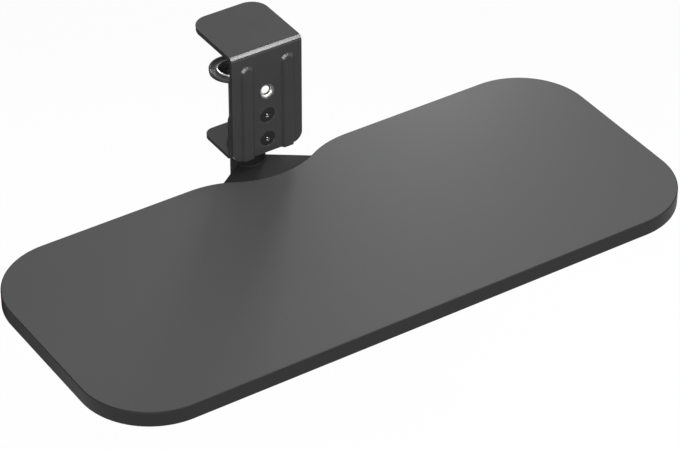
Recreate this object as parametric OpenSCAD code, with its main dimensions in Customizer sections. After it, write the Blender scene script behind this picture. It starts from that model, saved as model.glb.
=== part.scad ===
// Clamp-on swivel tray that hangs under a desk.
// Origin: on the swivel axis, at the underside of the upper jaw's pad.
// +X to the user's right, +Y in under the desk, +Z up. Millimetres.

/* [Board] */
// Length of the board from side to side
board_w = 710; // [600:5:900]
// Depth of the board from front to back
board_d = 305; // [260:5:400]
// Thickness of the board with its laminates
board_t = 18; // [15:0.5:25]
// Radius of the board's four corners
corner_r = 80; // [40:5:110]
// Depth of the notch in the back edge
notch_depth = 25; // [15:1:35]
// Radius of the notch's inner and outer bends
notch_r = 100; // [70:5:130]
// Thickness of the laminate on each face
laminate_t = 0.8; // [0.5:0.1:1.5]
// Thickness of the band round the edge
edge_band_t = 1.2; // [0.8:0.1:3]
// Distance from the swivel axis to the bottom of the notch
notch_setback = 67.5; // [55:0.5:90]
// Drop from the lower flange to the top of the board
tray_drop = 15; // [10:0.5:22]

/* [Upper bracket] */
// Thickness of the bracket sheet
sheet_t = 4.5; // [3:0.5:5]
// Width of the upper bracket
bracket_w = 86; // [80:1:110]
// Height of the upper bracket
bracket_h = 132.5; // [128:0.5:150]
// Depth of the jaw from the front face to its back edge
jaw_d = 87; // [75:1:120]
// Inside radius of the folds
fold_r = 1.5; // [1:0.5:4]
// Radius of the jaw's back corners
jaw_corner_r = 20; // [6:1:24]
// Radius of the bracket's lower corners
foot_corner_r = 12; // [4:1:12]
// Distance from the swivel axis to the bracket's front face
bracket_setback = 42; // [38:0.5:50]
// Width of a pressed rib
rib_w = 16; // [13:0.5:18]
// Height of a pressed rib
rib_h = 3; // [2:0.25:4]
// Width of a rib's flat top
rib_flat = 11; // [8:0.5:12]
// Rounding of a rib's upper edges
rib_round = 1.5; // [0.5:0.25:3]
// Distance between the two ribs' centre lines
rib_spacing = 49.5; // [40:0.5:52]
// Distance from the bracket's top to the ribs' upper ends
rib_top_gap = 15.5; // [12:0.5:30]
// Distance from the bracket's top to its first hole
first_hole_drop = 55; // [50:1:60]
// Distance between the bracket's holes
hole_pitch = 30; // [26:1:32]
// Thickness of the jaw's pad
jaw_pad_t = 2.5; // [1.5:0.5:5]
// How far the jaw's pad stays inside the jaw's edge
jaw_pad_inset = 0.6; // [0.3:0.1:3]

/* [Lower bracket] */
// Width of the lower bracket
lower_w = 88; // [80:1:110]
// Height of the lower bracket above its upper hole
lower_edge_above = 15; // [12:0.5:20]
// Drop from its lower hole to the underside of its flange
lower_edge_below = 15; // [13:0.5:16]
// Depth of the lower bracket from its front face to its back edge
flange_d = 58; // [54:1:80]
// Radius of the lower bracket's free corners
lower_corner_r = 12; // [5:1:18]

/* [Bracket screws] */
// Thread diameter of the bracket screws
bracket_screw_d = 8; // [6:1:8]
// Head diameter of the bracket screws
bracket_head_d = 17.6; // [15:0.2:18]
// Width across flats of the head's hexagon socket
bracket_socket_af = 5; // [3:0.5:5]
// Depth of the head's hexagon socket
bracket_socket_depth = 2.6; // [1.5:0.1:3]
// Width across flats of the bracket nuts
bracket_nut_af = 13; // [12:0.5:15]
// Height of the bracket nuts
bracket_nut_h = 6.5; // [5:0.5:8]

/* [Clamp screws] */
// Open height of the jaw
jaw_gap = 25; // [20:1:40]
// Diameter of the press discs
press_d = 48; // [40:1:52]
// Gap between the two press discs
press_gap = 3; // [1:0.5:6]
// Gap from the press discs to the upper bracket
press_clear = 1; // [0.5:0.25:4]
// Thickness of the press disc's sheet
press_sheet_t = 2; // [1.5:0.25:3]
// Rounding of the cup's mouth and floor
cup_round = 1.5; // [0.5:0.25:2]
// Thickness of the rubber ring on the press disc
press_pad_t = 2.5; // [1.5:0.25:4]
// Inside diameter of the press disc's cup
cup_d = 27; // [22:0.5:30]
// Depth of the press disc's cup
cup_depth = 5; // [4:0.25:8]
// Thread diameter of the clamp screws
clamp_screw_d = 8; // [6:1:10]
// Diameter of the clamp screw's riveted tip
rivet_d = 6; // [4:0.5:6]
// Diameter of the rivet's spread head
rivet_head_d = 11; // [9:0.5:14]
// Height of the rivet's spread head
rivet_head_h = 2.4; // [1.5:0.1:3]
// Rounding of the rivet's spread head
rivet_round = 1.2; // [0.5:0.1:1.4]
// Head diameter of the clamp screws
clamp_head_d = 13; // [11:0.5:16]
// Head height of the clamp screws
clamp_head_h = 8; // [6:0.5:10]
// Rounding of the clamp screw's head
clamp_head_round = 0.8; // [0.3:0.1:1.5]
// Width across flats of the clamp screw's hexagon socket
clamp_socket_af = 6; // [4:0.5:8]
// Depth of the clamp screw's hexagon socket
clamp_socket_depth = 4; // [3:0.5:5]
// Gap between the flange and the clamp screw's head
clamp_head_gap = 2; // [1:0.5:4]
// Width across flats of the clamp nuts
clamp_nut_af = 13; // [13:0.5:17]
// Height of the clamp nuts
clamp_nut_h = 6.5; // [5:0.5:9]

/* [Pivot] */
// Outside diameter of the pivot hub
hub_d = 38.5; // [32:0.5:40]
// Chamfer on the hub's outer edges
hub_chamfer = 1; // [0.5:0.25:2]
// Length of the hub below the support plate
hub_tail = 21; // [18:0.5:30]
// Diameter of the pivot bolt
pivot_bolt_d = 10; // [8:1:12]
// Width across flats of the pivot bolt's head and nut
pivot_hex_af = 17; // [15:0.5:19]
// Height of the pivot bolt's head
pivot_head_h = 6.4; // [5:0.2:8]
// Height of the pivot nut
pivot_nut_h = 10; // [8:0.5:11]
// Length of bolt that stands out of the nut
bolt_tail = 1.5; // [0.5:0.25:2]
// Wall of the sleeve round the pivot bolt
sleeve_wall = 3; // [2:0.25:4]
// Wall of the two bushings
bushing_wall = 2; // [1.5:0.25:3]
// Length of each bushing in the hub
bushing_len = 14; // [8:0.5:16]
// Thickness of the bushings' flanges
bushing_flange_t = 2; // [1:0.25:3]
// How far the bushings' flanges stand out beyond their walls
bushing_flange_lip = 3; // [2:0.25:4]
// Thickness of the thrust washer under the flange
thrust_t = 1.5; // [1:0.25:3]
// Thickness of the steel washer under the hub
pivot_washer_t = 2; // [1:0.25:2.5]
// Thickness of the hub cap's disc
cap_t = 2; // [1.5:0.25:4]
// Rounding of the hub cap's rim
cap_round = 1; // [0.5:0.1:1.4]
// Wall of the hub cap's skirt
cap_skirt_t = 1.2; // [0.8:0.1:2]
// Length of the hub cap's skirt
cap_skirt_len = 5; // [3:0.5:7]

/* [Support plate] */
// Thickness of the support plate
plate_t = 4; // [3:0.5:6]
// Width of the support plate
plate_w = 200; // [160:5:260]
// Distance from the swivel axis to the plate's front edge
plate_reach = 200; // [180:5:260]
// Angle between the plate's rear edges and the board's back edge
plate_angle = 35.3; // [30:0.1:40]
// Where the plate's rear edges would meet, behind the swivel axis
plate_apex = 5.5; // [2:0.1:6]
// Radius of the plate's corners
plate_corner_r = 20; // [8:1:30]
// Distance from the plate's edges to the board screws
screw_edge = 20; // [12:1:25]
// Distance between the board screws along each side
screw_pitch = 44; // [30:1:48]
// Number of board screws along each side
screw_rows = 3; // [2:1:3]
// Thread diameter of the board screws
board_screw_d = 5; // [4:0.5:5]
// Head diameter of the board screws
board_head_d = 10; // [8:0.5:11]
// Head height of the board screws
board_head_h = 3; // [2:0.25:4]
// Rounding of the board screws' heads
board_head_round = 1.9; // [0.5:0.1:1.9]
// Width of the board screws' cross slots
cross_w = 1.2; // [0.8:0.1:1.6]
// Length of the board screws' cross slots
cross_len = 5.4; // [4:0.2:6]
// Depth of the board screws' cross slots
cross_depth = 1.6; // [1:0.1:1.8]
// Diameter of the threaded inserts
insert_d = 8; // [7:0.5:10]
// Length of the threaded inserts
insert_len = 11; // [8:0.5:12]

/* [Fits] */
// Gap between turning faces
running_fit = 0.05; // [0.02:0.01:0.1]
// Gap round a thread, an insert or a welded piece
seat_fit = 0.05; // [0.02:0.01:0.1]
// Gap round a bolt in its hole
bolt_fit = 0.4; // [0.2:0.1:0.6]
// End play of the hub on its bolt
end_play = 0.2; // [0.1:0.05:0.4]

/* [Hidden] */
$fn = 72;

// Finishes
coat = [0.20, 0.20, 0.21];
plated = [0.62, 0.62, 0.60];
oxide = [0.06, 0.06, 0.065];
rubber = [0.09, 0.09, 0.09];
nylon = [0.80, 0.79, 0.74];
chipboard = [0.70, 0.58, 0.42];
laminate = [0.15, 0.15, 0.155];

// A cut runs this far past the face it opens
over = 1;
// Angle between the points of a drawn arc
arc_step = 3.75;
// Angle between the points of a small rounding
round_step = 15;
// Slope of the chamfer on a hexagon's corners
hex_chamfer = 30;
// Width across corners of a hexagon of unit width across flats
hex_ratio = 1 / cos(30);

// Upper bracket
bracket_top = jaw_pad_t + sheet_t;
bracket_bottom = bracket_top - bracket_h;
front_y = -bracket_setback;
seam_y = front_y + sheet_t;
jaw_back = front_y + jaw_d;
// A rib's flanks lean in by this much, at this slope
rib_run = (rib_w - rib_flat) / 2;
rib_slope = atan2(rib_h, rib_run);
rib_top = bracket_top - rib_top_gap - rib_w / 2;
function hole_z(i) = bracket_top - first_hole_drop - i * hole_pitch;
hole_count = 3;

// Lower bracket
lower_back_y = seam_y + sheet_t;
lower_top = hole_z(1) + lower_edge_above;
flange_bottom = hole_z(2) - lower_edge_below;
flange_top = flange_bottom + sheet_t;
flange_back = seam_y + flange_d;
lower_holes = [hole_z(1), hole_z(2)];

// Clamp screws
press_x = press_d / 2 + press_gap / 2;
press_y = seam_y + press_clear + press_d / 2;
press_top = -jaw_gap;
press_face = press_top - press_pad_t;
cup_floor = press_face - cup_depth;
clamp_shoulder = cup_floor - press_sheet_t;
clamp_head_top = flange_bottom - clamp_head_gap;

// Pivot, from the flange down
sleeve_r = pivot_bolt_d / 2 + bolt_fit + sleeve_wall;
bushing_in_r = sleeve_r + running_fit;
bushing_out_r = bushing_in_r + bushing_wall;
bushing_flange_r = bushing_out_r + bushing_flange_lip;
thrust_bottom = flange_bottom - thrust_t;
hub_top = thrust_bottom - end_play - bushing_flange_t;

// Board and plate levels
board_top = flange_bottom - tray_drop;
board_bottom = board_top - board_t;
plate_bottom = board_bottom - plate_t;
board_back = -notch_setback + notch_depth;
hub_bottom = plate_bottom - hub_tail;

// Counterbore in the hub's lower end
cap_room = 1;
counterbore = bushing_flange_t + pivot_washer_t + pivot_nut_h + bolt_tail + cap_room;
counterbore_r = max(bushing_flange_r, pivot_hex_af * hex_ratio / 2 + cap_skirt_t) + bolt_fit;
counterbore_z = hub_bottom + counterbore;
washer_top = counterbore_z - bushing_flange_t;
washer_bottom = washer_top - pivot_washer_t;
nut_bottom = washer_bottom - pivot_nut_h;
bolt_end = nut_bottom - bolt_tail;

// Board screws stand in two rows along the plate's sides
screw_x = plate_w / 2 - screw_edge;
screw_front = -plate_reach + screw_edge;
screw_places = [
    for (side = [-1, 1], row = [0 : screw_rows - 1]) [side * screw_x, screw_front + row * screw_pitch]
];

// Points of an arc about c, from angle a0 to a1
function arc(c, r, a0, a1) =
    let (steps = ceil(abs(a1 - a0) / arc_step))
    [for (i = [0 : steps]) c + r * [cos(a0 + (a1 - a0) * i / steps), sin(a0 + (a1 - a0) * i / steps)]];

function mirrored(points) =
    [for (i = [len(points) - 1 : -1 : 0]) [-points[i][0], points[i][1]]];

function unit(v) = v / norm(v);

// Points of the arc of radius r that rounds corner q between its neighbours p and s
function corner_arc(p, q, s, r, step) =
    r == 0 ? [q] :
    let (
        u = unit(p - q),
        v = unit(s - q),
        half = acos(u * v) / 2,
        c = q + unit(u + v) * r / sin(half),
        start = q + u * r / tan(half) - c,
        a0 = atan2(start[1], start[0]),
        turn = sign(u[1] * v[0] - u[0] * v[1]) * (180 - 2 * half),
        steps = ceil(abs(turn) / step)
    )
    [for (i = [0 : steps]) c + r * [cos(a0 + turn * i / steps), sin(a0 + turn * i / steps)]];

// Outline through corners given as [point, radius]
function rounded(corners, step = round_step) =
    let (n = len(corners))
    [for (i = [0 : n - 1])
        each corner_arc(corners[(i + n - 1) % n][0], corners[i][0], corners[(i + 1) % n][0],
                        corners[i][1], step)];

// Strip from y0 to y1 whose corners are rounded at y1 only
module round_ended(w, y0, y1, r) {
    translate([-w / 2, y0]) square([w, y1 - r - y0]);
    translate([-w / 2 + r, y0]) square([w - 2 * r, y1 - y0]);
    for (s = [-1, 1])
        translate([s * (w / 2 - r), y1 - r]) circle(r);
}

// Angle section with a radiused fold: corner at the origin, legs along +X and +Y
module angle_section(leg_x, leg_y, t, r) {
    difference() {
        fold_corner(leg_x, leg_y, t + r);
        translate([t, t]) fold_corner(leg_x, leg_y, r);
    }
}

module fold_corner(leg_x, leg_y, r) {
    translate([r, 0]) square([leg_x - r, leg_y]);
    translate([0, r]) square([leg_x, leg_y - r]);
    translate([r, r]) circle(r);
}

// Sheet folded along X: extrudes a section drawn in the YZ plane over the width w
module fold_extrude(w) {
    translate([-w / 2, 0, 0]) rotate([90, 0, 90]) linear_extrude(w) children();
}

// Prism along Y of a shape drawn in the XZ plane, from y0 to y1
module front_extrude(y0, y1) {
    translate([0, y1, 0]) rotate([90, 0, 0]) linear_extrude(y1 - y0) children();
}

// Round-ended bar on the bracket's front, swept from a half profile of [reach, height] points
module rib_bar(x, half_profile) {
    hull()
        for (z = [rib_top, bracket_bottom - rib_w])
            translate([x, front_y, z]) rotate([90, 0, 0]) rotate_extrude($fn = 48) polygon(half_profile);
}

// Half width of the rib's outside, and of its hollow back, at a height over the front face
function rib_reach(h) = rib_w / 2 - rib_run * h / rib_h;
function hollow_reach(h) = rib_reach(h) - sheet_t / sin(rib_slope);

rib_outside = rounded([
    [[0, -sheet_t / 2], 0], [[rib_w / 2, -sheet_t / 2], 0], [[rib_w / 2, 0], 0],
    [[rib_flat / 2, rib_h], rib_round], [[0, rib_h], 0]
]);
rib_hollow = [
    [0, -sheet_t - over], [hollow_reach(-sheet_t - over), -sheet_t - over],
    [hollow_reach(rib_h - sheet_t), rib_h - sheet_t], [0, rib_h - sheet_t]
];

// Right-angled countersunk form along +Y, from the upper bracket's front face
module countersunk(z, head, shank, length) {
    translate([0, front_y, z]) rotate([-90, 0, 0]) {
        cylinder(d1 = head, d2 = shank, h = (head - shank) / 2);
        cylinder(d = shank, h = length);
    }
}

// Room for a bracket screw through both brackets
module bracket_screw_hole(z) {
    countersunk(z, bracket_head_d + 2 * bolt_fit, bracket_screw_d + 2 * bolt_fit, 2 * sheet_t + over);
}

module hexagon(af, h) {
    cylinder(d = af * hex_ratio, h = h, $fn = 6);
}

// Hexagon whose corners are chamfered at its top
module chamfered_hexagon(af, h) {
    spread = h / tan(hex_chamfer);
    intersection() {
        hexagon(af, h);
        cylinder(r1 = af / 2 + spread, r2 = af / 2, h = h);
    }
}

module hex_nut(af, h, bore) {
    difference() {
        chamfered_hexagon(af, h);
        translate([0, 0, -over]) cylinder(d = bore, h = h + 2 * over);
    }
}

module ring(r_out, r_in, h) {
    difference() {
        cylinder(r = r_out, h = h);
        translate([0, 0, -over]) cylinder(r = r_in, h = h + 2 * over);
    }
}

module upper_bracket() color(coat)
    difference() {
        intersection() {
            union() {
                fold_extrude(bracket_w)
                    translate([front_y, bracket_top])
                        mirror([0, 1]) angle_section(jaw_d, bracket_h, sheet_t, fold_r);
                for (s = [-1, 1]) rib_bar(s * rib_spacing / 2, rib_outside);
            }
            translate([0, 0, bracket_bottom])
                linear_extrude(bracket_h)
                    round_ended(bracket_w, front_y - rib_h - over, jaw_back, jaw_corner_r);
            front_extrude(front_y - rib_h - over, jaw_back + over)
                mirror([0, 1]) round_ended(bracket_w, -bracket_top, -bracket_bottom, foot_corner_r);
        }
        for (s = [-1, 1]) rib_bar(s * rib_spacing / 2, rib_hollow);
        for (i = [0 : hole_count - 1]) bracket_screw_hole(hole_z(i));
    }

module jaw_pad() color(rubber)
    linear_extrude(jaw_pad_t)
        round_ended(bracket_w - 2 * jaw_pad_inset, seam_y + fold_r, jaw_back - jaw_pad_inset,
                    jaw_corner_r - jaw_pad_inset);

module lower_bracket() color(coat)
    difference() {
        intersection() {
            fold_extrude(lower_w)
                translate([seam_y, flange_bottom])
                    angle_section(flange_d, lower_top - flange_bottom, sheet_t, fold_r);
            translate([0, 0, flange_bottom])
                linear_extrude(lower_top - flange_bottom)
                    round_ended(lower_w, seam_y, flange_back, lower_corner_r);
            front_extrude(seam_y, flange_back)
                round_ended(lower_w, flange_bottom, lower_top, lower_corner_r);
        }
        for (z = lower_holes) bracket_screw_hole(z);
        translate([0, 0, flange_bottom - over])
            cylinder(d = pivot_bolt_d + 2 * bolt_fit, h = sheet_t + 2 * over);
        for (s = [-1, 1])
            translate([s * press_x, press_y, flange_bottom - over])
                cylinder(d = clamp_screw_d + 2 * bolt_fit, h = sheet_t + 2 * over);
    }

module bracket_screws() color(oxide)
    for (z = lower_holes)
        difference() {
            countersunk(z, bracket_head_d, bracket_screw_d, 2 * sheet_t + bracket_nut_h + over);
            front_extrude(front_y - over, front_y + bracket_socket_depth)
                translate([0, z]) circle(d = bracket_socket_af * hex_ratio, $fn = 6);
        }

module bracket_nuts() color(coat)
    for (z = lower_holes)
        translate([0, lower_back_y, z]) rotate([-90, 0, 0])
            hex_nut(bracket_nut_af, bracket_nut_h, bracket_screw_d + 2 * seat_fit);

module clamp_nuts() color(coat)
    for (s = [-1, 1])
        translate([s * press_x, press_y, flange_top])
            hex_nut(clamp_nut_af, clamp_nut_h, clamp_screw_d + 2 * running_fit);

// Dished disc: flat ring, drawn cup with rounded bends, and a hole for the riveted tip
module press_disc(side) color(coat)
    translate([side * press_x, press_y, 0])
        rotate_extrude()
            polygon(rounded([
                [[rivet_d / 2 + running_fit, cup_floor], 0],
                [[cup_d / 2, cup_floor], cup_round],
                [[cup_d / 2, press_face], cup_round],
                [[press_d / 2, press_face], 0],
                [[press_d / 2, press_face - press_sheet_t], 0],
                [[cup_d / 2 + press_sheet_t, press_face - press_sheet_t], 0],
                [[cup_d / 2 + press_sheet_t, clamp_shoulder], cup_round + press_sheet_t / 2],
                [[rivet_d / 2 + running_fit, clamp_shoulder], 0]
            ]));

module press_pad(side) color(rubber)
    translate([side * press_x, press_y, press_face])
        ring(press_d / 2, cup_d / 2 + cup_round, press_pad_t);

// Socket screw with its head below the flange and its tip riveted into the cup
module clamp_screw(side) color(oxide)
    translate([side * press_x, press_y, 0])
        difference() {
            rotate_extrude()
                polygon(rounded([
                    [[0, clamp_head_top - clamp_head_h], 0],
                    [[clamp_head_d / 2, clamp_head_top - clamp_head_h], clamp_head_round],
                    [[clamp_head_d / 2, clamp_head_top], 0],
                    [[clamp_screw_d / 2, clamp_head_top], 0],
                    [[clamp_screw_d / 2, clamp_shoulder - running_fit], 0],
                    [[rivet_d / 2, clamp_shoulder - running_fit], 0],
                    [[rivet_d / 2, cup_floor + running_fit], 0],
                    [[rivet_head_d / 2, cup_floor + running_fit], 0],
                    [[rivet_head_d / 2, cup_floor + rivet_head_h], rivet_round],
                    [[0, cup_floor + rivet_head_h], 0]
                ]));
            translate([0, 0, clamp_head_top - clamp_head_h - over])
                hexagon(clamp_socket_af, clamp_socket_depth + over);
        }

module left_press_disc() press_disc(-1);
module left_press_pad() press_pad(-1);
module left_clamp_screw() clamp_screw(-1);
module right_press_disc() press_disc(1);
module right_press_pad() press_pad(1);
module right_clamp_screw() clamp_screw(1);

module pivot_bolt() color(plated)
    union() {
        translate([0, 0, flange_top]) chamfered_hexagon(pivot_hex_af, pivot_head_h);
        translate([0, 0, bolt_end]) cylinder(d = pivot_bolt_d, h = flange_top - bolt_end);
    }

module pivot_sleeve() color(plated)
    translate([0, 0, washer_top])
        ring(sleeve_r, pivot_bolt_d / 2 + bolt_fit, flange_bottom - washer_top);

module thrust_washer() color(nylon)
    translate([0, 0, thrust_bottom]) ring(bushing_flange_r, sleeve_r + running_fit, thrust_t);

module pivot_washer() color(plated)
    translate([0, 0, washer_bottom])
        ring(bushing_flange_r, pivot_bolt_d / 2 + bolt_fit, pivot_washer_t);

module pivot_nut() color(plated)
    translate([0, 0, washer_bottom]) mirror([0, 0, 1])
        hex_nut(pivot_hex_af, pivot_nut_h, pivot_bolt_d + 2 * seat_fit);

// Turned hub: bore for the bushings, counterbore for the nut, chamfered outer edges
module pivot_hub() color(coat)
    rotate_extrude()
        polygon([
            [bushing_out_r + seat_fit, hub_top],
            [hub_d / 2 - hub_chamfer, hub_top],
            [hub_d / 2, hub_top - hub_chamfer],
            [hub_d / 2, hub_bottom + hub_chamfer],
            [hub_d / 2 - hub_chamfer, hub_bottom],
            [counterbore_r, hub_bottom],
            [counterbore_r, counterbore_z],
            [bushing_out_r + seat_fit, counterbore_z]
        ]);

// Flanged bushing: flange from z up, or from z down, and its body into the hub
module bushing(z, up) color(nylon)
    translate([0, 0, z]) mirror([0, 0, up ? 0 : 1]) {
        ring(bushing_flange_r, bushing_in_r, bushing_flange_t);
        translate([0, 0, -bushing_len]) ring(bushing_out_r, bushing_in_r, bushing_len);
    }

module upper_bushing() bushing(hub_top, true);
module lower_bushing() bushing(counterbore_z, false);

// Plug with a domed rim and a skirt that grips the counterbore
module hub_cap() color(rubber)
    rotate_extrude()
        polygon(rounded([
            [[0, hub_bottom - cap_t], 0],
            [[hub_d / 2 - hub_chamfer, hub_bottom - cap_t], cap_round],
            [[hub_d / 2 - hub_chamfer, hub_bottom], 0],
            [[counterbore_r - seat_fit, hub_bottom], 0],
            [[counterbore_r - seat_fit, hub_bottom + cap_skirt_len], 0],
            [[counterbore_r - seat_fit - cap_skirt_t, hub_bottom + cap_skirt_len], 0],
            [[counterbore_r - seat_fit - cap_skirt_t, hub_bottom], 0],
            [[0, hub_bottom], 0]
        ]));

// Plate with raked rear edges that run into the hub
module support_plate() color(coat)
    difference() {
        shoulder_y = plate_apex - plate_w / 2 * tan(plate_angle);
        translate([0, 0, plate_bottom]) linear_extrude(plate_t)
            polygon(rounded([
                [[0, plate_apex], 0],
                [[plate_w / 2, shoulder_y], plate_corner_r],
                [[plate_w / 2, -plate_reach], plate_corner_r],
                [[-plate_w / 2, -plate_reach], plate_corner_r],
                [[-plate_w / 2, shoulder_y], plate_corner_r]
            ], arc_step));
        translate([0, 0, plate_bottom - over])
            cylinder(d = hub_d + 2 * seat_fit, h = plate_t + 2 * over);
        for (p = screw_places)
            translate([p[0], p[1], plate_bottom - over])
                cylinder(d = board_screw_d + 2 * bolt_fit, h = plate_t + 2 * over);
    }

// Board's outline, drawn in from the edge by inset. The back edge would lie on y = 0.
module board_shape(inset) {
    corner_x = board_w / 2 - corner_r;
    // The notch's inner bend runs into its outer bends on the line between their centres
    bend_angle = acos(1 - notch_depth / (2 * notch_r));
    bend_x = 2 * notch_r * sin(bend_angle);
    right = concat(
        arc([bend_x, -notch_r], notch_r - inset, 90 + bend_angle, 90),
        arc([corner_x, -corner_r], corner_r - inset, 90, 0),
        arc([corner_x, corner_r - board_d], corner_r - inset, 0, -90)
    );
    inner = arc([0, notch_r - notch_depth], notch_r + inset, -90 - bend_angle, -90 + bend_angle);
    inside = [for (i = [1 : len(inner) - 2]) inner[i]];
    polygon(concat(right, mirrored(right), inside));
}

module tray_outline(inset) {
    translate([0, board_back]) board_shape(inset);
}

module insert_holes(z, depth) {
    for (p = screw_places)
        translate([p[0], p[1], z]) cylinder(d = insert_d + 2 * seat_fit, h = depth);
}

module board_core() color(chipboard)
    difference() {
        translate([0, 0, board_bottom + laminate_t])
            linear_extrude(board_t - 2 * laminate_t) tray_outline(edge_band_t);
        insert_holes(board_bottom, insert_len + over);
    }

module top_laminate() color(laminate)
    translate([0, 0, board_top - laminate_t]) linear_extrude(laminate_t) tray_outline(edge_band_t);

module bottom_laminate() color(laminate)
    difference() {
        translate([0, 0, board_bottom]) linear_extrude(laminate_t) tray_outline(edge_band_t);
        insert_holes(board_bottom - over, laminate_t + 2 * over);
    }

module edge_band() color(laminate)
    translate([0, 0, board_bottom]) linear_extrude(board_t)
        difference() {
            tray_outline(0);
            tray_outline(edge_band_t);
        }

// Pan-head screws with cross slots, driven up from below the plate
module board_screws() color(oxide)
    for (p = screw_places)
        translate([p[0], p[1], plate_bottom])
            difference() {
                rotate_extrude($fn = 48)
                    polygon(rounded([
                        [[0, -board_head_h], 0],
                        [[board_head_d / 2, -board_head_h], board_head_round],
                        [[board_head_d / 2, 0], 0],
                        [[board_screw_d / 2, 0], 0],
                        [[board_screw_d / 2, plate_t + insert_len], 0],
                        [[0, plate_t + insert_len], 0]
                    ]));
                for (turn = [0, 90])
                    rotate(turn)
                        translate([-cross_len / 2, -cross_w / 2, -board_head_h - over])
                            cube([cross_len, cross_w, cross_depth + over]);
            }

module board_inserts() color(plated)
    for (p = screw_places)
        translate([p[0], p[1], board_bottom])
            ring(insert_d / 2, board_screw_d / 2 + seat_fit, insert_len);

upper_bracket();
jaw_pad();
lower_bracket();
bracket_screws();
bracket_nuts();
clamp_nuts();
left_press_disc();
left_press_pad();
left_clamp_screw();
right_press_disc();
right_press_pad();
right_clamp_screw();
pivot_bolt();
pivot_sleeve();
thrust_washer();
pivot_washer();
pivot_nut();
pivot_hub();
upper_bushing();
lower_bushing();
hub_cap();
support_plate();
board_core();
top_laminate();
bottom_laminate();
edge_band();
board_screws();
board_inserts();
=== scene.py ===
"""Finishes, screw threads, welds and studio for a clamp-on swivel tray."""
import math

import bmesh
import bpy
from bpy.props import FloatProperty, FloatVectorProperty, IntProperty, PointerProperty
from mathutils import Matrix, Vector


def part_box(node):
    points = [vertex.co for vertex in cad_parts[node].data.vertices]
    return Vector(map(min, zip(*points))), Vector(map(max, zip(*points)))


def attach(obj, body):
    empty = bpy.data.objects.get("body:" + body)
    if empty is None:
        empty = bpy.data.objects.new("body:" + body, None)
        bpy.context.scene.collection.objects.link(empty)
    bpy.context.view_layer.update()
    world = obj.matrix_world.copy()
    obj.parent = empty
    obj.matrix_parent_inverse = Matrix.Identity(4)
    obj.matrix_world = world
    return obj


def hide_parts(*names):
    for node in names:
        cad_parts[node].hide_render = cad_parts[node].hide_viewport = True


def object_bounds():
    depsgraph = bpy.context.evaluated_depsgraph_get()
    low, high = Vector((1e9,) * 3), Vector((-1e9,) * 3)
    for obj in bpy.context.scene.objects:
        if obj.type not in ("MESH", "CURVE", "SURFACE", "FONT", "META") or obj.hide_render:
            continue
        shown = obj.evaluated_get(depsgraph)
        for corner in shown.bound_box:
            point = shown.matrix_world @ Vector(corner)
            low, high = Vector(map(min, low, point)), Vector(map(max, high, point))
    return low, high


bl_info = {
    "name": "Swivel tray",
    "version": (1, 0, 0),
    "blender": (4, 5, 0),
    "location": "View3D > Sidebar > Tray",
    "description": "Dresses the packed clamp-on swivel tray and sets up its studio",
    "category": "Object",
}

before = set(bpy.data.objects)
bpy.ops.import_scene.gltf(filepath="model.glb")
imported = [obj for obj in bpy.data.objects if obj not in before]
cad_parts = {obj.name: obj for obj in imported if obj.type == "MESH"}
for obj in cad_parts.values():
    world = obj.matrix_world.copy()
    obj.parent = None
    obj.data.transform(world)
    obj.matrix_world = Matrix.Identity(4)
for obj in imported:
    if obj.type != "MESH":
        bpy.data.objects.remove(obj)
CAD_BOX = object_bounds()
MM = 0.001
# Vertices this close are one, faces this nearly in line are one, and edges this sharp are corners
TOUCHING = 0.002 * MM
IN_LINE = math.radians(0.3)
CORNER = math.radians(28)


# Settings

def colour_setting(label, about, tone):
    return FloatVectorProperty(
        name=label, description=about, subtype="COLOR", size=3, min=0, max=1, default=tone
    )


def length_setting(label, about, metres):
    return FloatProperty(name=label, description=about, unit="LENGTH", min=0, default=metres)


def angle_setting(label, about, degrees):
    return FloatProperty(
        name=label, description=about, subtype="ANGLE", default=math.radians(degrees)
    )


def watts_setting(label, lamp, watts):
    return FloatProperty(name=label, description=f"Power of {lamp}, in watts", min=0, default=watts)


class TrayFinish(bpy.types.PropertyGroup):
    """Colours and grain of the tray's finishes."""

    coat: colour_setting("Powder coat", "Colour of the coated sheet steel", (0.038, 0.038, 0.039))
    # The plate coat is the powder coat made darker: painted shade on the plate, the hub and their welds
    plate: colour_setting("Plate coat", "Colour of the plate and the hub", (0.024, 0.024, 0.025))
    laminate: colour_setting("Laminate", "Colour of the board's faces", (0.045, 0.045, 0.046))
    band: colour_setting("Edge band", "Colour of the band round the board", (0.009, 0.009, 0.010))
    plating: colour_setting("Zinc plate", "Colour of the plated hardware", (0.58, 0.58, 0.56))
    oxide: colour_setting("Black oxide", "Colour of the blackened screws", (0.012, 0.012, 0.013))
    foam: colour_setting("Foam rubber", "Colour of the pad under the jaw", (0.012, 0.012, 0.012))
    rubber: colour_setting("Moulded rubber", "Colour of the pads on the discs", (0.052, 0.052, 0.053))
    nylon: colour_setting("Nylon", "Colour of the bushings and the thrust washer", (0.66, 0.65, 0.60))
    cap: colour_setting("Cap plastic", "Colour of the hub's cap", (0.020, 0.020, 0.021))
    chip: colour_setting("Chipboard", "Colour of the board's core", (0.45, 0.32, 0.18))
    coat_grain: length_setting("Coat grain", "Size of the powder coat's orange peel", 0.9 * MM)
    laminate_grain: length_setting("Laminate grain", "Size of the laminate's pebble grain", 0.7 * MM)
    foam_pore: length_setting("Foam pore", "Size of the jaw pad's pores", 0.5 * MM)


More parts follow.
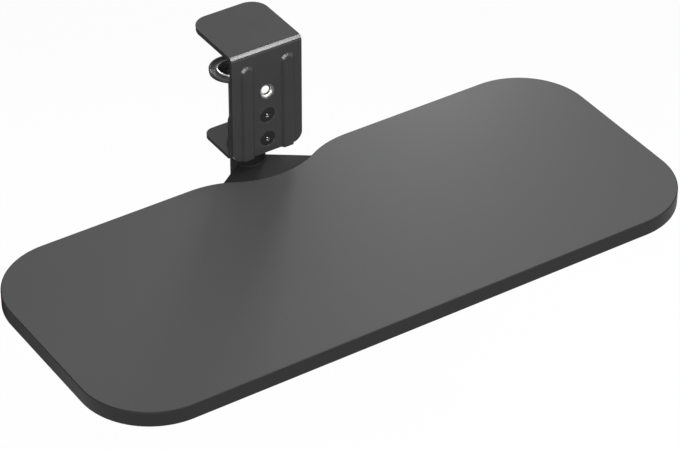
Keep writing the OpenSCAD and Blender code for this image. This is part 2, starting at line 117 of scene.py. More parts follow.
class TrayHardware(bpy.types.PropertyGroup):
    """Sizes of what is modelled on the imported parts."""

    edge_round: length_setting("Edge rounding", "Rounding of cut and turned edges", 0.2 * MM)
    running_room: length_setting("Running room", "Gap at the pivot washer's faces", 0.02 * MM)
    arris: length_setting("Board arris", "Rounding of the band's outer edges", 1.1 * MM)
    pitch: length_setting("Thread pitch", "Pitch of the eight millimetre screws", 1.25 * MM)
    thread_depth: length_setting("Thread depth", "Depth of the screw threads", 0.7 * MM)
    screw_d: length_setting("Screw diameter", "Thread diameter of the clamp and bracket screws", 8 * MM)
    bracket_socket: length_setting("Bracket socket", "Across flats in the bracket screws", 5 * MM)
    socket_depth: length_setting("Socket depth", "Depth of the bracket screws' sockets", 2.6 * MM)
    clamp_socket: length_setting("Clamp socket", "Across flats in the clamp screws", 6 * MM)
    clamp_head: length_setting("Clamp head", "Height of the clamp screws' heads", 8 * MM)
    weld: length_setting("Weld size", "Leg of the hub's weld beads", 1.7 * MM)
    weld_ripples: IntProperty(
        name="Weld ripples", description="Ripples along one weld bead", min=8, default=26
    )
    knurls: IntProperty(
        name="Knurls", description="Ridges round a clamp screw's head", min=12, default=36
    )
    pad_round: length_setting("Pad rounding", "Rounding of the pads' free edges", 0.9 * MM)
    pad_lip: length_setting("Pad bead", "Rise of the press pads' outer bead over their face", 1.2 * MM)
    pad_bore: length_setting("Pad bore", "Radius of the bore in the press pads", 15 * MM)
    pad_bulge: length_setting("Pad bulge", "How far the pads' sides swell", 0.25 * MM)


class TrayStudio(bpy.types.PropertyGroup):
    """Camera, floor and lamps."""

    azimuth: angle_setting("Azimuth", "Camera's turn round the tray, from the front", -33.109)
    elevation: angle_setting("Elevation", "Camera's height over the horizon", 36.362)
    roll: angle_setting("Roll", "Camera's tilt about its own axis", 0.16)
    distance: length_setting("Distance", "From the camera to its aim", 3.3149)
    aim: FloatVectorProperty(
        name="Aim", description="Where the camera looks, from the middle of the board's top",
        subtype="TRANSLATION", size=3, default=(0.0024, 0.0163, 0.0),
    )
    lens: FloatProperty(
        name="Lens", description="Focal length on a 36 mm sensor, in millimetres", default=169.13
    )
    floor_drop: length_setting("Floor drop", "From the tray's lowest point to the floor", 0.65)
    ambient: FloatProperty(
        name="Ambient", description="Strength of the even light from all round", min=0, default=0.2
    )
    strip_watts: watts_setting("Strips", "each long lamp on the right", 25)
    softbox_watts: watts_setting("Softbox", "the long lamp over the camera", 98)
    fill_watts: watts_setting("Low fill", "the low lamp at the front left", 14)
    back_watts: watts_setting("Back light", "the lamp at the back right", 3.3)


# Mesh helpers

def new_piece(name, bm, material, body):
    """An object at the origin from a finished bmesh, riding on a body."""
    mesh = bpy.data.meshes.new(name)
    bm.to_mesh(mesh)
    bm.free()
    mesh.shade_smooth()
    mesh.materials.append(material)
    piece = bpy.data.objects.new(name, mesh)
    bpy.context.scene.collection.objects.link(piece)
    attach(piece, body)
    return piece


def even_normals(piece):
    """Flat faces look flat and bends smooth, whatever the faces' sizes."""
    normals = piece.modifiers.new("even normals", "WEIGHTED_NORMAL")
    normals.mode = "FACE_AREA_WITH_ANGLE"
    normals.keep_sharp = True


def dress(name, material, rounding=None, room=0):
    """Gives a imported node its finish, softly broken edges and room to turn against its neighbours."""
    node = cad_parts[name]
    node.data.materials.clear()
    node.data.materials.append(material)
    node.data.shade_smooth()
    weld = node.modifiers.new("weld", "WELD")
    weld.merge_threshold = TOUCHING
    flats = node.modifiers.new("flats", "DECIMATE")
    flats.decimate_type = "DISSOLVE"
    flats.angle_limit = IN_LINE
    if room:
        shrunk = node.modifiers.new("running room", "DISPLACE")
        shrunk.mid_level = 0
        shrunk.strength = -room
    if rounding:
        bevel = node.modifiers.new("broken edges", "BEVEL")
        bevel.limit_method = "ANGLE"
        bevel.angle_limit = CORNER
        bevel.width = rounding
        bevel.segments = 3
        bevel.use_clamp_overlap = True
    even_normals(node)


def merged_copy(name):
    """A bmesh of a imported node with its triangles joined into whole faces."""
    bm = bmesh.new()
    bm.from_mesh(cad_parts[name].data)
    bmesh.ops.remove_doubles(bm, verts=bm.verts, dist=TOUCHING)
    bmesh.ops.dissolve_limit(
        bm, angle_limit=IN_LINE, verts=bm.verts, edges=bm.edges, delimit=set()
    )
    return bm


def round_off(bm, edges, radius):
    """Rounds edges to a radius, in four steps."""
    bmesh.ops.bevel(
        bm, geom=edges, offset=radius, offset_type="OFFSET", affect="EDGES", segments=4,
        profile=0.5, material=-1,
    )


def cut_across(bm, height, side=1, trim=False):
    """Cuts a mesh at one height, trims off what is past it if wanted and gives what lies in the cut."""
    return bmesh.ops.bisect_plane(
        bm, geom=bm.verts[:] + bm.edges[:] + bm.faces[:], dist=TOUCHING / 2,
        plane_co=(0, 0, height), plane_no=(0, 0, side), clear_outer=trim,
    )["geom_cut"]


def edges_of(verts):
    return list({edge for vert in verts for edge in vert.link_edges})


def circle(bm, radius, z, segments):
    """A loop of edges round the Z axis."""
    made = bmesh.ops.create_circle(
        bm, segments=segments, radius=radius, matrix=Matrix.Translation((0, 0, z))
    )
    return edges_of(made["verts"])


def knurled(bm, radius, depth, z, ridges):
    """A loop with two edges to each ridge, drawn in between the ridges."""
    made = bmesh.ops.create_circle(
        bm, segments=2 * ridges, radius=radius, matrix=Matrix.Translation((0, 0, z))
    )
    share = (radius - depth) / radius
    bmesh.ops.scale(bm, vec=(share, share, 1), verts=made["verts"][::2])
    return edges_of(made["verts"])


def bridge(bm, loops):
    """Walls between each loop and the next."""
    for near, far in zip(loops, loops[1:]):
        bmesh.ops.bridge_loops(bm, edges=near + far)


def cap(bm, loop):
    bmesh.ops.edgeloop_fill(bm, edges=loop)


def draw(bm, loop, depth):
    """Draws a loop of edges along the Z axis; gives the far loop's vertices and edges."""
    drawn = bmesh.ops.extrude_edge_only(bm, edges=loop)["geom"]
    verts = {item for item in drawn if isinstance(item, bmesh.types.BMVert)}
    bmesh.ops.translate(bm, vec=(0, 0, depth), verts=list(verts))
    return verts, [edge for edge in edges_of(verts) if verts.issuperset(edge.verts)]


def hex_socket(bm, loop, across_flats, chamfer, depth):
    """Draws a round loop in to a hexagon, sinks that along the Z axis and closes it."""
    verts, mouth = draw(bm, loop, chamfer)
    sector = math.tau / 6
    for vert in verts:
        angle = math.atan2(vert.co.y, vert.co.x)
        reach = across_flats / 2 / math.cos(angle % sector - sector / 2)
        vert.co.x = reach * math.cos(angle)
        vert.co.y = reach * math.sin(angle)
    cap(bm, draw(bm, mouth, depth - chamfer)[1])


def lathe(outline, segments, closed=False):
    """A bmesh of an outline of (radius, height) points spun round the Z axis."""
    bm = bmesh.new()
    verts = [bm.verts.new((radius, 0, height)) for radius, height in outline]
    pairs = list(zip(verts, verts[1:]))
    if closed:
        pairs.append((verts[-1], verts[0]))
    edges = [bm.edges.new(pair) for pair in pairs]
    bmesh.ops.spin(
        bm, geom=verts + edges, cent=(0, 0, 0), axis=(0, 0, 1), dvec=(0, 0, 0),
        angle=math.tau, steps=segments, use_merge=True,
    )
    bmesh.ops.remove_doubles(bm, verts=bm.verts, dist=TOUCHING)
    bmesh.ops.recalc_face_normals(bm, faces=bm.faces)
    return bm


def thread(bm, radius, depth, pitch, low, high):
    """A right-hand thread round the Z axis, cut off square and closed at both ends."""
    around = 24
    turns = math.ceil((high - low) / pitch) + 2
    start = low - pitch
    root, crest = radius - depth, radius
    # One turn's section: radius and share of the pitch
    profile = [(root, 0), (root, 1 / 8), (crest, 7 / 16), (crest, 9 / 16), (root, 7 / 8), (root, 1)]
    verts = [bm.verts.new((reach, 0, start + share * pitch)) for reach, share in profile]
    edges = [bm.edges.new(pair) for pair in zip(verts, verts[1:])]
    bmesh.ops.spin(
        bm, geom=verts + edges, cent=(0, 0, 0), axis=(0, 0, 1), dvec=(0, 0, pitch / around),
        angle=math.tau * turns, steps=around * turns, use_merge=False,
    )
    bmesh.ops.remove_doubles(bm, verts=bm.verts, dist=TOUCHING)
    for height, side in ((low, -1), (high, 1)):
        cut_across(bm, height, side, trim=True)
    rims = [edge for edge in bm.edges if edge.is_boundary]
    bmesh.ops.holes_fill(bm, edges=rims, sides=0)
    bmesh.ops.recalc_face_normals(bm, faces=bm.faces)


def add_moved(bm, part, matrix):
    """Adds a part's mesh to bm, moved by a matrix, and frees the part."""
    bmesh.ops.transform(part, matrix=matrix, verts=part.verts)
    mesh = bpy.data.meshes.new("part")
    part.to_mesh(mesh)
    part.free()
    bm.from_mesh(mesh)
    bpy.data.meshes.remove(mesh)


# Shader helpers

def put(tree, kind, values=None, **settings):
    """A node of that kind with its properties and its inputs' values set."""
    node = tree.nodes.new(kind)
    for name, value in settings.items():
        setattr(node, name, value)
    for name, value in (values or {}).items():
        node.inputs[name].default_value = value
    return node


def new_group(name, inputs, outputs):
    """An empty shader group with float, vector and colour sockets."""
    group = bpy.data.node_groups.new(name, "ShaderNodeTree")
    for way, sockets in (("INPUT", inputs), ("OUTPUT", outputs)):
        for label, kind in sockets:
            group.interface.new_socket(label, in_out=way, socket_type=f"NodeSocket{kind}")
    return group, group.nodes.new("NodeGroupInput"), group.nodes.new("NodeGroupOutput")


def scale_of(tree, given):
    """The scale of a group's texture: one over the group's Size."""
    scale = put(tree, "ShaderNodeMath", {0: 1.0}, operation="DIVIDE")
    tree.links.new(given.outputs["Size"], scale.inputs[1])
    return scale.outputs[0]


def grain_group():
    """Fine pebble grain: a height and a mask from two sizes of noise."""
    tree, given, result = new_group(
        "Fine grain", [("Vector", "Vector"), ("Size", "Float")],
        [("Height", "Float"), ("Mask", "Float")],
    )
    link = tree.links.new
    scale = scale_of(tree, given)
    pebble = put(tree, "ShaderNodeTexNoise", {"Detail": 2.0, "Roughness": 0.55})
    cells = put(tree, "ShaderNodeTexVoronoi", feature="SMOOTH_F1")
    for texture in (pebble, cells):
        link(given.outputs["Vector"], texture.inputs["Vector"])
        link(scale, texture.inputs["Scale"])
    both = put(tree, "ShaderNodeMath", {1: 0.5}, operation="MULTIPLY_ADD")
    link(cells.outputs["Distance"], both.inputs[0])
    link(pebble.outputs["Fac"], both.inputs[2])
    link(both.outputs[0], result.inputs["Height"])
    mask = put(tree, "ShaderNodeMapRange", {"From Min": 0.55, "From Max": 0.75})
    link(pebble.outputs["Fac"], mask.inputs["Value"])
    link(mask.outputs["Result"], result.inputs["Mask"])
    return tree


def variation_group():
    """Broad unevenness of a finish: a colour and a roughness that drift across the surface."""
    tree, given, result = new_group(
        "Finish variation",
        [("Vector", "Vector"), ("Size", "Float"), ("Colour", "Color"), ("Roughness", "Float"),
         ("Amount", "Float")],
        [("Colour", "Color"), ("Roughness", "Float")],
    )
    link = tree.links.new
    drift = put(tree, "ShaderNodeTexNoise", {"Detail": 5.0, "Roughness": 0.6})
    link(given.outputs["Vector"], drift.inputs["Vector"])
    link(scale_of(tree, given), drift.inputs["Scale"])
    swing = put(tree, "ShaderNodeMath", {1: 0.5}, operation="SUBTRACT")
    link(drift.outputs["Fac"], swing.inputs[0])
    share = put(tree, "ShaderNodeMath", operation="MULTIPLY")
    link(swing.outputs[0], share.inputs[0])
    link(given.outputs["Amount"], share.inputs[1])
    factor = put(tree, "ShaderNodeMath", {1: 1.0}, operation="ADD")
    link(share.outputs[0], factor.inputs[0])
    tone = put(tree, "ShaderNodeVectorMath", operation="SCALE")
    link(given.outputs["Colour"], tone.inputs[0])
    link(factor.outputs[0], tone.inputs["Scale"])
    link(tone.outputs[0], result.inputs["Colour"])
    rough = put(tree, "ShaderNodeMath", operation="MULTIPLY")
    link(given.outputs["Roughness"], rough.inputs[0])
    link(factor.outputs[0], rough.inputs[1])
    link(rough.outputs[0], result.inputs["Roughness"])
    return tree


def hairline_group():
    """Fine drawn lines along one axis: a height and a mask."""
    tree, given, result = new_group(
        "Hairlines", [("Vector", "Vector"), ("Size", "Float"), ("Stretch", "Vector")],
        [("Height", "Float"), ("Mask", "Float")],
    )
    link = tree.links.new
    drawn = put(tree, "ShaderNodeVectorMath", operation="MULTIPLY")
    link(given.outputs["Vector"], drawn.inputs[0])
    link(given.outputs["Stretch"], drawn.inputs[1])
    lines = put(tree, "ShaderNodeTexNoise", {"Detail": 3.0, "Roughness": 0.65})
    link(drawn.outputs[0], lines.inputs["Vector"])
    link(scale_of(tree, given), lines.inputs["Scale"])
    link(lines.outputs["Fac"], result.inputs["Height"])
    mask = put(tree, "ShaderNodeMapRange", {"From Min": 0.45, "From Max": 0.7})
    link(lines.outputs["Fac"], mask.inputs["Value"])
    link(mask.outputs["Result"], result.inputs["Mask"])
    return tree


def edge_group():
    """Where a surface turns a corner: a mask that is one on an edge, for wear and for a painted
    highlight.
    """
    tree, given, result = new_group(
        "Worn edges", [("Vector", "Vector"), ("Radius", "Float")], [("Mask", "Float")]
    )
    link = tree.links.new
    rounded = put(tree, "ShaderNodeBevel", samples=4)
    link(given.outputs["Radius"], rounded.inputs["Radius"])
    surface = put(tree, "ShaderNodeNewGeometry")
    facing = put(tree, "ShaderNodeVectorMath", operation="DOT_PRODUCT")
    link(rounded.outputs["Normal"], facing.inputs[0])
    link(surface.outputs["True Normal"], facing.inputs[1])
    corner = put(tree, "ShaderNodeMapRange", {"From Min": 0.995, "From Max": 0.9})
    link(facing.outputs["Value"], corner.inputs["Value"])
    patchy = put(tree, "ShaderNodeTexNoise", {"Scale": 260.0, "Detail": 3.0})
    link(given.outputs["Vector"], patchy.inputs["Vector"])
    broken = put(tree, "ShaderNodeMath", operation="MULTIPLY")
    link(corner.outputs["Result"], broken.inputs[0])
    link(patchy.outputs["Fac"], broken.inputs[1])
    link(broken.outputs[0], result.inputs["Mask"])
    return tree


class Finish:
    """A material with its Principled shader, its Object coordinates and shorthand for groups."""

    groups = {}

    def __init__(self, name, sockets):
        self.material = bpy.data.materials.new(name)
        self.material.use_nodes = True
        self.tree = self.material.node_tree
        self.shader = self.tree.nodes["Principled BSDF"]
        self.place = put(self.tree, "ShaderNodeTexCoord").outputs["Object"]
        for label, value in sockets.items():
            self.shader.inputs[label].default_value = value

    def link(self, source, target):
        self.tree.links.new(source, target)

    def group(self, make, values):
        """One of the shared groups, reading this material's coordinates."""
        if make not in self.groups:
            self.groups[make] = make()
        node = put(self.tree, "ShaderNodeGroup", values, node_tree=self.groups[make])
        self.link(self.place, node.inputs["Vector"])
        return node

    def vary(self, colour, roughness, size, amount):
        """Colour and roughness that drift across the surface."""
        drift = self.group(
            variation_group,
            {"Size": size, "Colour": (*colour, 1.0), "Roughness": roughness, "Amount": amount},
        )
        self.link(drift.outputs["Colour"], self.shader.inputs["Base Color"])
        self.link(drift.outputs["Roughness"], self.shader.inputs["Roughness"])

    def relief(self, make, size, strength, depth, **values):
        """Fine relief from a group's height on the shader's normal; gives the group's mask."""
        fine = self.group(make, {"Size": size, **values})
        bump = put(self.tree, "ShaderNodeBump", {"Strength": strength, "Distance": depth})
        self.link(fine.outputs["Height"], bump.inputs["Height"])
        self.link(bump.outputs["Normal"], self.shader.inputs["Normal"])
        return fine.outputs["Mask"]

    def worn(self, radius):
        """The mask of the edges, for wear and for a painted highlight."""
        return self.group(edge_group, {"Radius": radius}).outputs["Mask"]

    def speckle(self, mask, colour, lift):
        """Fine specks of a lighter tone of the same colour."""
        self.mix_into("Base Color", mask, (*(lift * channel for channel in colour), 1.0))

    def mix_into(self, socket, mask, value):
        """Mixes a value or colour over what feeds a socket, where the mask is one."""
        target = self.shader.inputs[socket]
        before = target.links[0].from_socket
        kind = "RGBA" if socket == "Base Color" else "FLOAT"
        mix = put(self.tree, "ShaderNodeMix", data_type=kind)
        # The node has sockets for each kind of data: two that go in and one that comes out
        under, over, mixed = {"RGBA": (6, 7, 2), "FLOAT": (2, 3, 0)}[kind]
        self.link(mask, mix.inputs[0])
        self.link(before, mix.inputs[under])
        mix.inputs[over].default_value = value
        self.link(mix.outputs[mixed], target)


# Finishes

def finished(make):
    """A finish's material, made on its first use."""
    name = make.__name__.replace("_", " ")
    return bpy.data.materials.get(name) or make(name, bpy.context.scene.tray_finish)


def powder_coat(name, finish):
    """Satin black powder coat: orange peel, fine specks, slight drift, and polished edges that are
    lighter for wear and for a painted highlight.
    """
    made = Finish(name, {"Specular IOR Level": 0.22})
    made.vary(finish.coat, roughness=0.13, size=0.05, amount=0.25)
    specks = made.relief(grain_group, finish.coat_grain, strength=0.03, depth=0.05 * MM)
    made.speckle(specks, finish.coat, lift=1.3)
    worn = made.worn(0.6 * MM)
    made.mix_into("Roughness", worn, 0.10)
    # Lighter edges: partly wear, partly a painted highlight along them
    made.mix_into("Base Color", worn, (0.075, 0.075, 0.077, 1.0))
    return made.material


def plate_coat_with_painted_shade(name, finish):
    """Matt black coat of the plate and the hub, a little rougher where it drifts; darker than the
    powder coat on the brackets, as painted shade.
    """
    made = Finish(name, {"Specular IOR Level": 0.06})
    made.vary(finish.plate, roughness=0.6, size=0.04, amount=0.3)
    specks = made.relief(grain_group, finish.coat_grain, strength=0.06, depth=0.05 * MM)
    made.speckle(specks, finish.plate, lift=1.4)
    # Lighter edges on the plate coat: partly wear, partly a painted highlight
    made.mix_into("Base Color", made.worn(0.6 * MM), (0.05, 0.05, 0.051, 1.0))
    return made.material


def board_laminate(name, finish):
    """Matt laminate with a fine pebble grain."""
    made = Finish(name, {"Specular IOR Level": 0.25})
    made.vary(finish.laminate, roughness=0.5, size=0.12, amount=0.12)
    specks = made.relief(grain_group, finish.laminate_grain, strength=0.25, depth=0.04 * MM)
    made.speckle(specks, finish.laminate, lift=1.25)
    return made.material


def edge_band(name, finish):
    """Extruded band: faint lines along its run."""
    made = Finish(name, {"Specular IOR Level": 0.2})
    along = (0.03, 0.03, 1.0)
    made.vary(finish.band, roughness=0.5, size=0.06, amount=0.15)
    made.relief(hairline_group, 0.6 * MM, strength=0.08, depth=0.03 * MM, Stretch=along)
    return made.material


def zinc_plate(name, finish):
    """Bright zinc with a cloudy drift and fine hairlines."""
    made = Finish(name, {"Metallic": 1.0})
    upright = (1.0, 1.0, 0.05)
    made.vary(finish.plating, roughness=0.30, size=0.012, amount=0.35)
    made.relief(hairline_group, 0.25 * MM, strength=0.12, depth=0.02 * MM, Stretch=upright)
    return made.material


def black_oxide(name, finish):
    """Blackened steel, lightly oiled, with corners that wear smoother."""
    made = Finish(name, {"Specular IOR Level": 0.5})
    made.vary(finish.oxide, roughness=0.26, size=0.008, amount=0.3)
    made.relief(grain_group, 0.25 * MM, strength=0.10, depth=0.02 * MM)
    made.mix_into("Roughness", made.worn(0.25 * MM), 0.18)
    return made.material


def foam_rubber(name, finish):
    """Matt foam rubber with open pores."""
    made = Finish(name, {"Specular IOR Level": 0.2})
    made.vary(finish.foam, roughness=0.7, size=0.01, amount=0.3)
    pores = made.relief(grain_group, finish.foam_pore, strength=0.4, depth=0.15 * MM)
    made.speckle(pores, finish.foam, lift=1.8)
    return made.material


def moulded_rubber(name, finish):
    """Satin moulded rubber with a faint bloom."""
    made = Finish(name, {"Specular IOR Level": 0.5})
    made.vary(finish.rubber, roughness=0.34, size=0.012, amount=0.2)
    bloom = made.relief(grain_group, 0.3 * MM, strength=0.02, depth=0.01 * MM)
    made.speckle(bloom, finish.rubber, lift=1.15)
    return made.material


def natural_nylon(name, finish):
    """Off-white moulded nylon that lets a little light in."""
    made = Finish(name, {"Subsurface Weight": 0.15, "Subsurface Scale": 0.002})
    made.vary(finish.nylon, roughness=0.42, size=0.01, amount=0.1)
    made.relief(grain_group, 0.4 * MM, strength=0.08, depth=0.02 * MM)
    return made.material


def cap_plastic(name, finish):
    """Black moulded plastic with a spark-eroded grain."""
    made = Finish(name, {"Specular IOR Level": 0.5})
    made.vary(finish.cap, roughness=0.5, size=0.01, amount=0.2)
    made.relief(grain_group, 0.35 * MM, strength=0.25, depth=0.04 * MM)
    return made.material


def particle_board(name, finish):
    """Raw particle board: flat chips of several tones."""
    made = Finish(name, {"Specular IOR Level": 0.3})
    made.vary(finish.chip, roughness=0.8, size=0.004, amount=1.2)
    flakes = made.relief(grain_group, 2.5 * MM, strength=0.5, depth=0.2 * MM)
    made.mix_into("Base Color", flakes, (0.30, 0.20, 0.10, 1.0))
    return made.material


# Operators

class TRAY_OT_stage(bpy.types.Operator):
    """Sets up the camera, the surrounding light, the pale floor, the black card and the lamps"""

    bl_idname = "tray.stage"
    bl_label = "Studio"

    def execute(self, context):
        studio = context.scene.tray_studio
        view = context.scene.view_settings
        view.view_transform = "Standard"
        self.camera(context, studio)
        self.surroundings(context, studio)
        self.floor(context, studio)
        self.black_card(context)
        self.lamps(context, studio)
        return {"FINISHED"}

    def camera(self, context, studio):
        """A long lens aimed near the middle of the board's top."""
        low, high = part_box("edge_band")
        aim = Vector(((low.x + high.x) / 2, (low.y + high.y) / 2, high.z)) + Vector(studio.aim)
        turn = Matrix.Rotation(studio.azimuth, 4, "Z")
        tilt = Matrix.Rotation(math.pi / 2 - studio.elevation, 4, "X")
        roll = Matrix.Rotation(studio.roll, 4, "Z")
        back = Matrix.Translation((0, 0, studio.distance))
        lens = bpy.data.cameras.new("camera")
        lens.lens = studio.lens
        lens.sensor_width = 36
        lens.clip_end = 100
        camera = bpy.data.objects.new("camera", lens)
        camera.matrix_world = Matrix.Translation(aim) @ turn @ tilt @ roll @ back
        context.scene.collection.objects.link(camera)
        context.scene.camera = camera

    def surroundings(self, context, studio):
        """Even light from all round, which looks white and lights the tray less."""
        world = bpy.data.worlds.new("surroundings")
        world.use_nodes = True
        context.scene.world = world
        tree = world.node_tree
        light = put(tree, "ShaderNodeLightPath")
        seen = put(tree, "ShaderNodeMath", operation="MAXIMUM")
        tree.links.new(light.outputs["Is Camera Ray"], seen.inputs[0])
        tree.links.new(light.outputs["Is Transmission Ray"], seen.inputs[1])
        shown = put(tree, "ShaderNodeMath", operation="MAXIMUM")
        tree.links.new(seen.outputs[0], shown.inputs[0])
        tree.links.new(light.outputs["Is Glossy Ray"], shown.inputs[1])
        strength = put(tree, "ShaderNodeMapRange", {"To Min": studio.ambient, "To Max": 1.0})
        tree.links.new(shown.outputs[0], strength.inputs["Value"])
        tree.links.new(strength.outputs["Result"], tree.nodes["Background"].inputs["Strength"])
        tree.nodes["Background"].inputs["Color"].default_value = (1, 1, 1, 1)

    def floor(self, context, studio):
        """A wide floor that looks nearly white by itself and keeps a faint shadow."""
        reach = 60
        own_glow = 0.93
        bm = bmesh.new()
        bmesh.ops.create_grid(bm, x_segments=2, y_segments=2, size=reach)
        height = CAD_BOX[0].z - studio.floor_drop
        bmesh.ops.translate(bm, vec=(0, 0, height), verts=bm.verts)
        mesh = bpy.data.meshes.new("floor")
        bm.to_mesh(mesh)
        bm.free()
        floor = bpy.data.objects.new("floor", mesh)
        context.scene.collection.objects.link(floor)
        made = Finish("pale floor", {"Base Color": (0.98, 0.98, 0.98, 1), "Roughness": 0.9})
        glow = put(made.tree, "ShaderNodeEmission", {"Color": (1, 1, 1, 1), "Strength": 1.0})
        light = put(made.tree, "ShaderNodeLightPath")
        seen = put(made.tree, "ShaderNodeMath", operation="MAXIMUM")
        made.link(light.outputs["Is Camera Ray"], seen.inputs[0])
        made.link(light.outputs["Is Glossy Ray"], seen.inputs[1])
        share = put(made.tree, "ShaderNodeMath", {1: own_glow}, operation="MULTIPLY")
        made.link(seen.outputs[0], share.inputs[0])
        lit = put(made.tree, "ShaderNodeMixShader")
        made.link(share.outputs[0], lit.inputs[0])
        made.link(made.shader.outputs[0], lit.inputs[1])
        made.link(glow.outputs[0], lit.inputs[2])
        # From below the floor lets the view through, so the underside can be looked at
        surface = put(made.tree, "ShaderNodeNewGeometry")
        clear = put(made.tree, "ShaderNodeBsdfTransparent")
        sides = put(made.tree, "ShaderNodeMixShader")
        made.link(surface.outputs["Backfacing"], sides.inputs[0])
        made.link(lit.outputs[0], sides.inputs[1])
        made.link(clear.outputs[0], sides.inputs[2])
        made.link(sides.outputs[0], made.tree.nodes["Material Output"].inputs["Surface"])
        floor.data.materials.append(made.material)

    def facing(self, direction, distance):
        """The place at a distance from the clamp's fold, turned towards it."""
        low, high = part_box("upper_bracket")
        fold = Vector((0, low.y, high.z))
        way = Vector(direction).normalized()
        along = way.cross((1, 0, 0)).normalized()
        turn = Matrix((along.cross(way), along, way)).transposed().to_4x4()
        return Matrix.Translation(fold + way * distance) @ turn

    def black_card(self, context):
        """A card at the back left that only reflections see, so that the side faces stay dark."""
        direction = (-0.52, 0.62, -0.59)
        distance = 0.45
        side = 0.5
        bm = bmesh.new()
        bmesh.ops.create_grid(
            bm, x_segments=1, y_segments=1, size=side / 2, matrix=self.facing(direction, distance)
        )
        mesh = bpy.data.meshes.new("black card")
        bm.to_mesh(mesh)
        bm.free()
        card = bpy.data.objects.new("black card", mesh)
        card.visible_camera = False
        card.visible_diffuse = False
        card.visible_transmission = False
        card.visible_shadow = False
        context.scene.collection.objects.link(card)
        black = Finish("black card", {"Base Color": (0, 0, 0, 1), "Specular IOR Level": 0.0})
        mesh.materials.append(black.material)

    def lamps(self, context, studio):
        """Rectangular lamps round the clamp's fold, which the camera doesn't see."""
        for name, direction, distance, width, length, slant, watts in (
            ("overhead strip", (0.44, -0.17, 0.88), 2.3, 0.18, 1.7, 0, studio.strip_watts),
            ("front strip", (0.44, -0.66, 0.61), 2.3, 0.18, 1.3, 0, studio.strip_watts),
            ("front softbox", (-0.48, -0.61, 0.63), 3.6, 4.4, 0.33, 25, studio.softbox_watts),
            ("low fill", (-0.60, -0.79, 0.12), 2.4, 0.8, 0.5, 0, studio.fill_watts),
            ("back softbox", (0.68, 0.72, 0.135), 1.06, 0.2, 0.4, 0, studio.back_watts),
        ):
            lamp = bpy.data.lights.new(name, "AREA")
            lamp.shape = "RECTANGLE"
            lamp.size = width
            lamp.size_y = length
            lamp.energy = watts
            holder = bpy.data.objects.new(name, lamp)
            holder.visible_camera = False
            roll = Matrix.Rotation(math.radians(slant), 4, "Z")
            holder.matrix_world = self.facing(direction, distance) @ roll
            context.scene.collection.objects.link(holder)


class TRAY_OT_coated_steel(bpy.types.Operator):
    """Coats the brackets and their nuts, the press discs, the support plate and the hub"""

    bl_idname = "tray.coated_steel"
    bl_label = "Coated steel"

    def execute(self, context):
        sizes = context.scene.tray_hardware
        for make, names in (
            (powder_coat, ("upper_bracket", "lower_bracket", "left_press_disc", "right_press_disc",
                           "bracket_nuts", "clamp_nuts")),
            # The plate and the hub take the darker coat, which is painted shade
            (plate_coat_with_painted_shade, ("support_plate", "pivot_hub")),
        ):
            for name in names:
                dress(name, finished(make), sizes.edge_round)
        return {"FINISHED"}


class TRAY_OT_welds(bpy.types.Operator):
    """Lays the rippled weld beads between the hub and the support plate"""

    bl_idname = "tray.welds"
    bl_label = "Welds"

    def execute(self, context):
        sizes = context.scene.tray_hardware
        plate_low, plate_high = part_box("support_plate")
        hub_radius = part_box("pivot_hub")[1].x
        for name, height, way in (
            ("upper_weld", plate_high.z, 1), ("lower_weld", plate_low.z, -1)
        ):
            bm = self.bead(hub_radius, height, way, sizes.weld, sizes.weld_ripples)
            # The welds take the plate's darker coat, painted shade like the plate's
            new_piece(name, bm, finished(plate_coat_with_painted_shade), "tray")
        return {"FINISHED"}

    def bead(self, radius, height, way, leg, ripples):
        """A bead in the corner between the hub's wall and the plate, over the hub's front."""
        half_turn = math.radians(64)
        sunk = 0.3 * MM
        crown = 0.62 * leg
        steps_each = 6
        groove = 0.12
        end_size, end_slope = 0.3, 8
        root = Vector((radius - sunk, 0, height - way * sunk))
        section = [
            root, Vector((radius + leg, 0, root.z)), Vector((radius + leg, 0, height)),
            Vector((radius + crown, 0, height + way * crown)),
            Vector((radius, 0, height + way * leg)), Vector((root.x, 0, height + way * leg)),
        ]
        bm = bmesh.new()
        face = bm.faces.new([bm.verts.new(point) for point in section])
        front = Matrix.Rotation(-math.pi / 2 - half_turn, 3, "Z")
        bmesh.ops.rotate(bm, cent=(0, 0, 0), matrix=front, verts=bm.verts)
        bmesh.ops.spin(
            bm, geom=[*face.verts, *face.edges, face], cent=(0, 0, 0), axis=(0, 0, 1),
            dvec=(0, 0, 0), angle=2 * half_turn, steps=steps_each * ripples, use_merge=False,
        )
        for vert in bm.verts:
            angle = math.atan2(vert.co.x, -vert.co.y)
            ripple = abs(math.sin(angle / half_turn * ripples * math.pi / 2))
            ends = min(1, end_slope * (1 - abs(angle) / half_turn) + end_size)
            corner = Vector((root.x * math.sin(angle), -root.x * math.cos(angle), root.z))
            vert.co = corner + (vert.co - corner) * ends * (1 - groove + groove * ripple)
        bmesh.ops.recalc_face_normals(bm, faces=bm.faces)
        return bm


